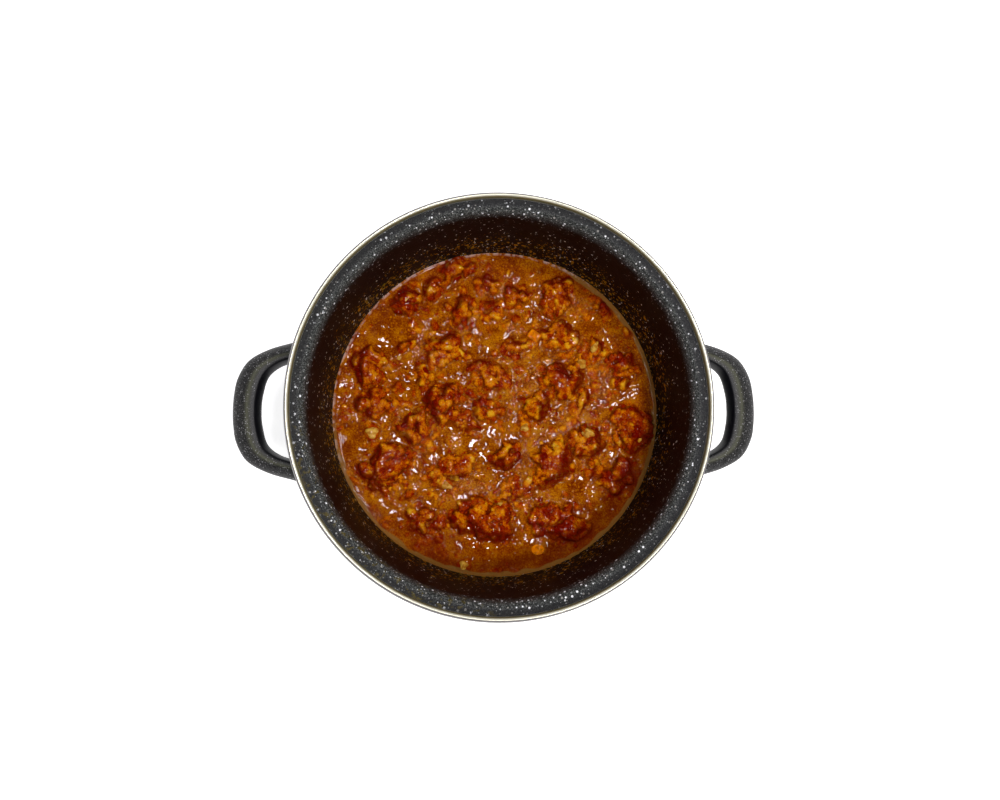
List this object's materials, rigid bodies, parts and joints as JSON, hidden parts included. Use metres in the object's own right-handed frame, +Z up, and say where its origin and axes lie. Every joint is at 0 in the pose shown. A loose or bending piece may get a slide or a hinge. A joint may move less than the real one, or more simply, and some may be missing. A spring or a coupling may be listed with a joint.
{
  "type": "pot of beef ragu",
  "caption": "Round two-handled enamelled cooking pot with a steel rim, half full of chunky beef ragu; stands on its flat base and serves as prepared food.",
  "frame": {"origin": "middle of the pot's flat base, on the surface it stands on", "axes": "+Z up out of the pot, +X towards the right-hand handle, +Y towards the top of the picture"},
  "size_m": [0.3352, 0.2468, 0.15],
  "materials": {
    "enamel": "glossy speckled enamel",
    "steel": "polished",
    "handle": "satin, finely speckled",
    "ragu": "wet, glossy",
    "carrot": "wet",
    "onion": "wet"
  },
  "bodies": {
    "root": {"pot_body": "enamel", "rim_ring": "steel", "handle_left": "handle", "handle_right": "handle", "ragu": "ragu", "carrot_1": "carrot", "onion_1": "onion", "onion_2": "onion", "onion_3": "onion", "onion_4": "onion", "onion_5": "onion", "onion_6": "onion", "onion_7": "onion"}
  },
  "joints": []
}
